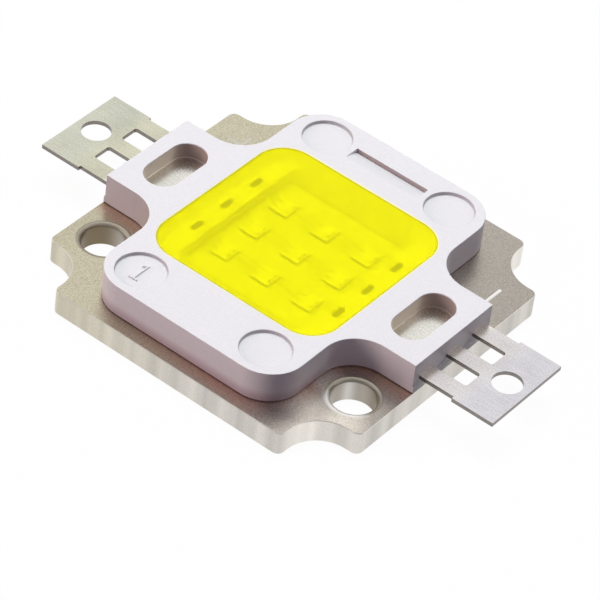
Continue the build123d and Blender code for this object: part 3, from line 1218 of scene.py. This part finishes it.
# %% [markdown]
# ## The bond wires
# A bonder melts a ball at the wire's end and presses it down, draws the wire up and over, and squashes it
# flat onto the next pad, where it breaks off. Each wire is a smooth curve with a round bevel, made a mesh,
# and joined with a flattened ball at its start and a thin wedge at its end. Only three shapes are needed,
# and every other wire is a copy of one of them.

# %% Bond wires
WIRE_RADIUS = 0.02
WIRE_RISE = 0.3
BALL_RADIUS = 0.045
BALL_HEIGHT = 0.03
STITCH_HALF = 0.028
STITCH_HEIGHT = 0.02


def loop_curve(points):
    """A drawn wire through a few control points."""
    bpy.ops.object.select_all(action="DESELECT")
    bpy.ops.curve.primitive_nurbs_path_add(location=(0, 0, 0))
    wire = bpy.context.object
    wire.data.splines.clear()
    spline = wire.data.splines.new("NURBS")
    spline.points.add(len(points) - 1)
    for control, (x, z) in zip(spline.points, points):
        control.co = (x, 0, z, 1)
    spline.order_u = 3
    spline.use_endpoint_u = True
    wire.data.bevel_depth = WIRE_RADIUS
    wire.data.bevel_resolution = 2
    wire.data.resolution_u = 8
    wire.data.use_fill_caps = True
    bpy.ops.object.convert(target="MESH")
    return bpy.context.object


def make_wire(name, ball_x, ball_z, stitch_x):
    """One wire from its ball to its stitch on a die."""
    crown = ball_z + WIRE_RISE
    side = 1 if stitch_x > ball_x else -1
    span = abs(stitch_x - ball_x)
    points = [
        (ball_x, ball_z + 0.02),
        (ball_x, crown - 0.04),
        (ball_x + side * 0.1 * span, crown + 0.01),
        (ball_x + side * 0.6 * span, crown - 0.03),
        (stitch_x - side * 0.1, DIE_TOP + 0.06),
        (stitch_x + side * 0.02, DIE_TOP + 0.012),
    ]
    wire = loop_curve(points)
    ball = disc("ball", BALL_RADIUS, ball_z - 0.004, ball_z + BALL_HEIGHT, (ball_x, 0), steps=16)
    with editing(ball):
        pick(ball, "FACE", is_top)
        bpy.ops.mesh.inset(thickness=0.012)
        bpy.ops.transform.translate(value=(0, 0, 0.008))
    low, high = sorted((stitch_x - side * 0.02, stitch_x + side * 0.08))
    wedge = slab("wedge", (low, -STITCH_HALF, DIE_TOP), (high, STITCH_HALF, DIE_TOP + STITCH_HEIGHT))
    with editing(wedge):
        pick(wedge, "FACE", lambda face: face.normal.x * side > 0.9)
        bpy.ops.transform.resize(value=(1, 0.6, 0.3))
    joined(wire, ball, wedge)
    with editing(wire):
        bpy.ops.mesh.remove_doubles(threshold=0.0005)
        face_outwards()
    smooth(wire, limit=60)
    return renamed(wire, name)


def place_wires():
    """All wires of the three rows, in the order of the CAD nodes."""
    first, last = DIE_X[0], DIE_X[-1]
    shapes = [
        make_wire("left_loop", -BOND_WINDOW_X, LEAD_TOP, first - ELECTRODE_X),
        make_wire("first_jump", first + ELECTRODE_X, DIE_TOP, DIE_X[1] - ELECTRODE_X),
        make_wire("second_jump", DIE_X[1] + ELECTRODE_X, DIE_TOP, last - ELECTRODE_X),
        make_wire("right_loop", BOND_WINDOW_X, LEAD_TOP, last + ELECTRODE_X),
    ]
    wires = []
    for row, y in enumerate(ROW_Y, start=1):
        for index, shape in enumerate(shapes):
            for number, side in enumerate((-1, 1), start=1):
                serial = 2 * index + number
                copy = copied(shape, f"wire_{row}_{serial}")
                copy.location = (0, y + side * ELECTRODE_Y, 0)
                settle(copy, "gold_wire", f"bond_wire_{row}_{serial}")
                wires.append(copy)
    for shape in shapes:
        bpy.data.objects.remove(shape, do_unlink=True)
    return wires


wires = place_wires()
gold.coat(*wires)

# %% [markdown]
# ## The phosphor gel
# Liquid silicone with yellow phosphor is poured into the cavity and cured. It wets the walls, so its flat
# top climbs a little at the rim. The gel fills the same bowl and well that carved the frame, made larger
# by a hundredth or two so that no two faces lie on each other, and it runs down into the six small
# windows over the bond pads. The dies and wires are inside it.

# %% Gel
GEL_SPARE = 0.02
GEL_CLIMB = 0.012
GEL_TOP = gel_high[2]


def make_gel():
    """The cured gel, from the slug up to its slightly hollow top."""
    upper, lower = cavity_parts(GEL_SPARE)
    with editing(lower):
        pick(lower, "FACE", is_bottom)
        bpy.ops.transform.translate(value=(0, 0, -GEL_SPARE))
    carve(upper, lower, "UNION")
    for y in ROW_Y:
        for side in (-1, 1):
            fill = (*BOND_WINDOW, LEAD_TOP - GEL_SPARE, SHELF_TOP + 0.3, (BOND_WINDOW_X * side, y))
            carve(upper, rounded_prism("window_fill", *fill), "UNION")
    top = GEL_TOP + GEL_CLIMB
    carve(upper, slab("air", (-9, -9, top), (9, 9, FRAME_TOP + 3)))
    gel = renamed(upper, "phosphor_gel_fill")
    with editing(gel):
        pick(gel, "FACE", lambda face: is_top(face) and near(face.calc_center_median().z, top))
        for width, drop in ((0.06, -0.02), (0.1, -0.013), (0.2, -0.006)):
            bpy.ops.mesh.inset(thickness=width)
            bpy.ops.transform.translate(value=(0, 0, drop))
    smooth(gel, limit=30)
    settle(gel, "phosphor_gel", "phosphor_gel")
    return gel


gel = make_gel()

# %% [markdown]
# ## Yellow phosphor
# Phosphor grains scatter light inside clear silicone, so the gel is part bright yellow body and part
# window: dies and pads show as darker marks. The shader mixes a diffuse yellow with transmission, with
# silicone's index of refraction, which also lifts the dies to where they appear. A little emission stands
# for the light that the phosphor turns yellow, and the reflection is tinted, as at a rough grain. Just
# inside the rim the gel has painted shade and reads a little darker.

# %% Phosphor gel
PHOSPHOR = (0.95, 0.905, 0.0)
PHOSPHOR_PALE = (0.965, 0.925, 0.0)
PHOSPHOR_RIM_SHADE = (0.62, 0.6, 0.02)


def gel_finish():
    """Clear silicone full of yellow phosphor."""
    constants = {
        "Roughness": 0.03,
        "IOR": 1.41,
        "Transmission Weight": 0.62,
        "Specular Tint": (1.0, 0.93, 0.0),
        "Specular IOR Level": 0.1,
        "Emission Strength": 0.172,
    }
    finish = Finish("phosphor_gel", constants)
    cloud = finish.noise(1.4, detail=3.0)
    yellow = finish.blend(finish.step(cloud, 0.35, 0.7), PHOSPHOR, PHOSPHOR_PALE)
    # Painted shade: just inside the rim the gel is painted a darker olive.
    rim = finish.step(rim_distance(finish), -0.16, -0.02)
    body = finish.blend(rim * 0.8, yellow, PHOSPHOR_RIM_SHADE)
    finish.set({"Base Color": body, "Emission Color": body})
    finish.relief(cloud, 0.002)
    return finish


phosphor = gel_finish()
phosphor.coat(gel)
print("gel transmits", phosphor.shader.inputs["Transmission Weight"].default_value)

# %% [markdown]
# ## Floor and daylight tent
# The chip lies on white paper in a white tent. The camera, and reflections in the metal, see that white,
# so Light Path's camera, glossy and transmission rays get a plain white of strength 1. Diffuse light gets
# a dimmer and slightly purple tent and a darker floor, so the walls that face the camera keep their own
# shade, and a ray that a dull surface has scattered once gets part of the white. The tent's side towards
# the camera is its door, and reflections see it darker.

# %% Floor and world
FLOOR_SIZE = 1.6
TENT_DIFFUSE = 0.12
SCATTER_LOSS = 0.35
TENT_TINT = (1.0, 0.74, 0.96)
TENT_DOOR = (0.53, -0.8, 0.28)
TENT_DOOR_SHADE = 0.3
FLOOR_BOUNCE = 0.12
FLOOR_WHITE_SHARE = 0.97


def path_is_seen(network):
    """1 for camera, glossy and clear rays, less when a dull surface has scattered them, 0 for dull ones."""
    path = network.node("LightPath").output.node.outputs
    clamped_sum = {"operation": "ADD", "use_clamp": True}
    seen = Signal(network, path["Is Camera Ray"])
    for kind in ("Is Glossy Ray", "Is Transmission Ray"):
        seen = network.node("Math", clamped_sum, {0: seen, 1: Signal(network, path[kind])})
    scattered = Signal(network, path["Diffuse Depth"]) * SCATTER_LOSS
    return network.node("Math", {"operation": "SUBTRACT", "use_clamp": True}, {0: seen, 1: scattered})


def make_floor():
    """White paper that keeps a faint shadow."""
    bpy.ops.object.select_all(action="DESELECT")
    bpy.ops.mesh.primitive_plane_add(size=FLOOR_SIZE, location=(0, 0, 0))
    floor = named("floor")
    finish = Finish("white_paper", {"Base Color": (0.9, 0.9, 0.9), "Roughness": 0.9})
    paper = Signal(finish, finish.shader.outputs[0])
    dark = finish.node("BsdfDiffuse", inputs={"Color": (FLOOR_BOUNCE,) * 3})
    glow = finish.node("Emission", inputs={"Color": (1, 1, 1), "Strength": 1.0})
    shown = finish.node("MixShader", inputs={0: FLOOR_WHITE_SHARE, 1: paper, 2: glow})
    either = finish.node("MixShader", inputs={0: path_is_seen(finish), 1: dark, 2: shown})
    finish.feed(finish.tree.nodes["Material Output"].inputs[0], either)
    finish.coat(floor)
    return floor


def make_world():
    """A white tent, open where the camera stands, and a dim one for diffuse light."""
    world = bpy.data.worlds.new("tent")
    world.use_nodes = True
    network = Network(world.node_tree)
    sky = world.node_tree.nodes["Background"].inputs
    seen = path_is_seen(network)
    facing = {0: network.node("TexCoord", output="Generated"), 1: TENT_DOOR}
    frontness = network.node("VectorMath", {"operation": "DOT_PRODUCT"}, facing, output="Value")
    door = 1 - network.step(frontness, 0.0, 0.8) * (1 - TENT_DOOR_SHADE)
    plain = network.node("LightPath", output="Is Camera Ray").at_least(door)
    network.feed(sky["Color"], network.blend(seen, TENT_TINT, (1, 1, 1)))
    network.feed(sky["Strength"], network.ramp(seen, 0.0, 1.0, TENT_DIFFUSE, plain))
    bpy.context.scene.world = world


floor = make_floor()
make_world()
print("floor reaches", round(floor.dimensions.x, 2), "m across")

# %% [markdown]
# ## Lamps
# A large softbox hangs over the chip, a little behind it and to its left. A smaller pink one stands low
# at the front left, and a faint one at the back right. They light dull surfaces only, because the tent
# already gives the metal its reflections. A lamp's power is given as the brightness it gives a white card
# at the chip, which is easier to judge.

# %% Lamps


def sky_place(azimuth, elevation, distance):
    """A place round the chip, by its direction from +X towards +Y and its height above the floor."""
    level = distance * math.cos(math.radians(elevation))
    turn = math.radians(azimuth)
    return (level * math.cos(turn), level * math.sin(turn), distance * math.sin(math.radians(elevation)))


def softbox(name, place, width, length, card, colour=(1, 1, 1)):
    """A rectangular lamp aimed at the chip that lights a white card there to a brightness."""
    bpy.ops.object.select_all(action="DESELECT")
    bpy.ops.object.light_add(type="AREA", location=place)
    lamp = bpy.context.object
    lamp.name = name
    lamp.data.shape = "RECTANGLE"
    lamp.data.size = width
    lamp.data.size_y = length
    distance = Vector(place).length
    lamp.data.energy = card * math.pi**2 * distance**2
    lamp.data.color = colour
    lamp.rotation_euler = (-Vector(place)).to_track_quat("-Z", "Y").to_euler()
    lamp.visible_glossy = False


softbox("softbox_above", sky_place(140, 78, 0.3), 0.15, 0.15, 0.825, (0.915, 1.0, 0.97))
softbox("softbox_front_left", sky_place(-130, 18, 0.4), 0.1, 0.24, 0.56, (1.0, 0.79, 0.75))
softbox("softbox_back_right", sky_place(60, 30, 0.4), 0.12, 0.14, 0.17, (1.0, 0.97, 0.9))

# %% [markdown]
# ## Colour
# The view transform is Standard, so a colour shows as it is written.

# %% View
bpy.context.scene.view_settings.view_transform = "Standard"
